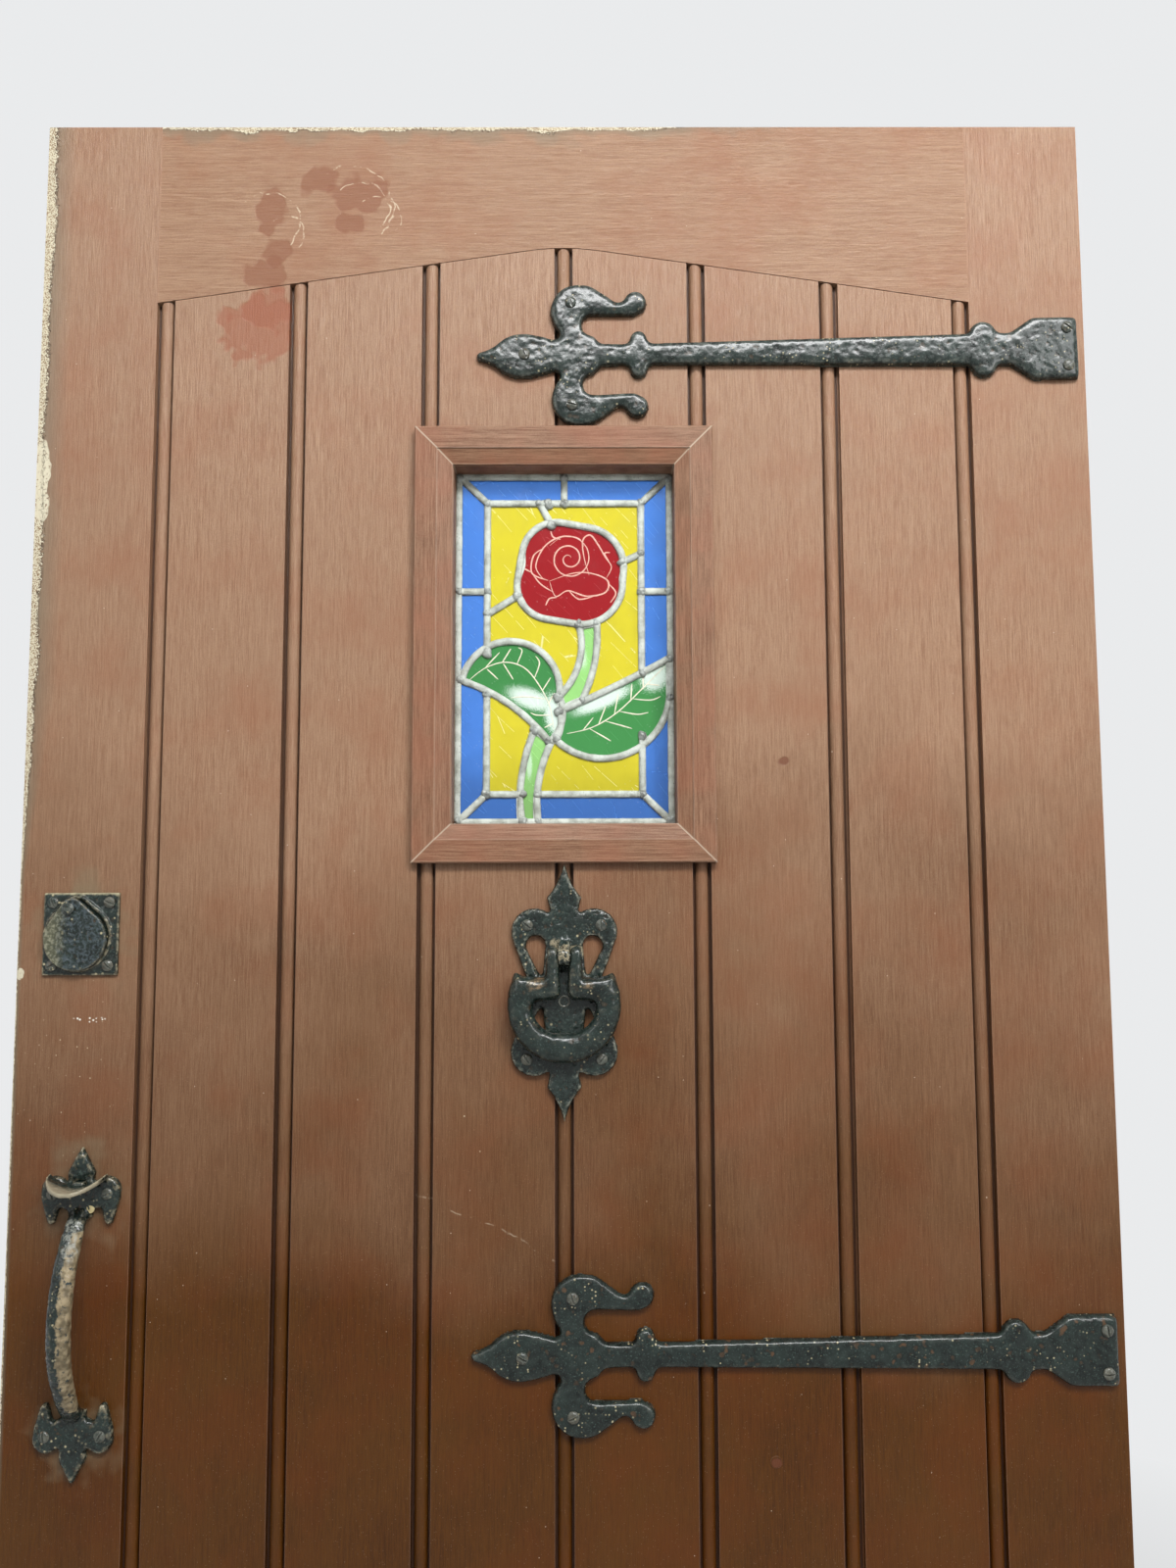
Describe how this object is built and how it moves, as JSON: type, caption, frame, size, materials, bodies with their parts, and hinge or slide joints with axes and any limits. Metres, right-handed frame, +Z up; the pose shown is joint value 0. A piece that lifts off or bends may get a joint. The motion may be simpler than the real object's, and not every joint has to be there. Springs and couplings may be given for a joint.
{
  "type": "arched wooden door",
  "caption": "Framed and boarded front door leaf with a pointed-arch top rail, leaded rose window, black iron straps, ring knocker and pull handle with thumb latch.",
  "frame": {"origin": "middle of the leaf's bottom edge, halfway through its thickness", "axes": "+X to the hinge edge, +Y through the leaf from the outer face to the inner face, +Z up"},
  "size_m": [0.8652, 0.1354, 2.057],
  "materials": {
    "painted_wood": "red-brown brushed paint, chipped along the top and the lock edge",
    "lead": "dull pale grey lead",
    "blue_glass": "rippled blue",
    "yellow_glass": "rippled yellow",
    "red_glass": "red with pale streaks",
    "green_glass": "rippled green",
    "pale_green_glass": "rippled light green",
    "black_iron": "worn black paint, hammered, with rust at the edges",
    "brass": "dull",
    "steel": "dull zinc plate"
  },
  "bodies": {
    "jamb_side": {"hinge_frame_flaps": "steel", "hinge_pins": "steel"},
    "leaf": {"hinge_stile": "painted_wood", "lock_stile": "painted_wood", "top_rail": "painted_wood", "middle_rail": "painted_wood", "bottom_rail": "painted_wood", "window_upright_left": "painted_wood", "window_upright_right": "painted_wood", "window_sill_trimmer": "painted_wood", "window_head_trimmer": "painted_wood", "board_1": "painted_wood", "board_2": "painted_wood", "board_3_lower": "painted_wood", "board_3_upper": "painted_wood", "board_4_lower": "painted_wood", "board_4_upper": "painted_wood", "board_5": "painted_wood", "board_6": "painted_wood", "window_lining_head": "painted_wood", "window_lining_sill": "painted_wood", "window_lining_left": "painted_wood", "window_lining_right": "painted_wood", "moulding_top": "painted_wood", "moulding_bottom": "painted_wood", "moulding_left": "painted_wood", "moulding_right": "painted_wood", "glazing_beads": "painted_wood", "lead_cames": "lead", "glass_border": "blue_glass", "glass_ground": "yellow_glass", "glass_rose": "red_glass", "glass_stem": "pale_green_glass", "glass_leaf_left": "green_glass", "glass_leaf_right": "green_glass", "strap_top": "black_iron", "strap_lower": "black_iron", "knocker_plate": "black_iron", "knocker_pin": "black_iron", "escutcheon_plate": "black_iron", "cover_rivet": "black_iron", "pull_handle": "black_iron", "thumb_pin": "black_iron", "latch_bar_pivot": "black_iron", "latch_bar_keeper": "black_iron", "nightlatch_case": "black_iron", "lock_cylinder": "brass", "hinge_leaf_flaps": "steel"},
    "knocker": {"knocker_ring": "black_iron"},
    "cover": {"escutcheon_cover": "black_iron"},
    "thumb_piece": {"thumb_press": "black_iron"},
    "bar": {"latch_bar": "black_iron"},
    "bolt": {"latch_bolt": "steel"},
    "knob": {"nightlatch_knob": "steel"}
  },
  "joints": [
    {"name": "door_swing", "type": "hinge", "parent": "jamb_side", "child": "leaf", "pos_m": [0.41975, 0.028, 1.092], "axis": [0, 0, -1], "range_deg": [0, 170]},
    {"name": "knocker_swing", "type": "hinge", "parent": "leaf", "child": "knocker", "pos_m": [0, -0.0346, 1.386], "axis": [-1, 0, 0], "range_deg": [0, 100]},
    {"name": "cover_swing", "type": "hinge", "parent": "leaf", "child": "cover", "pos_m": [-0.3775, -0.0288, 1.4229], "axis": [0, 1, 0], "range_deg": [-110, 110]},
    {"name": "latch_bar_lift", "type": "hinge", "parent": "leaf", "child": "bar", "pos_m": [-0.25, 0.028, 1.22962], "axis": [0, 1, 0], "range_deg": [0, 4.4]},
    {"name": "thumb_press_tilt", "type": "hinge", "parent": "leaf", "child": "thumb_piece", "pos_m": [-0.363, -0.0245, 1.2165], "axis": [1, 0, 0], "range_deg": [0, 9]},
    {"name": "latch_bolt_slide", "type": "slide", "parent": "leaf", "child": "bolt", "axis": [1, 0, 0], "range_m": [0, 0.012], "stiffness_N_per_m": 300, "springref_m": -0.01},
    {"name": "knob_turn", "type": "hinge", "parent": "leaf", "child": "knob", "pos_m": [-0.3702, 0.06, 1.4034], "axis": [0, 1, 0], "range_deg": [0, 45]}
  ],
  "couplings": [
    {"joint": "thumb_press_tilt", "follows": "latch_bar_lift", "ratio": 2.045},
    {"joint": "knob_turn", "follows": "latch_bolt_slide", "rad_per_m": 65.4}
  ]
}
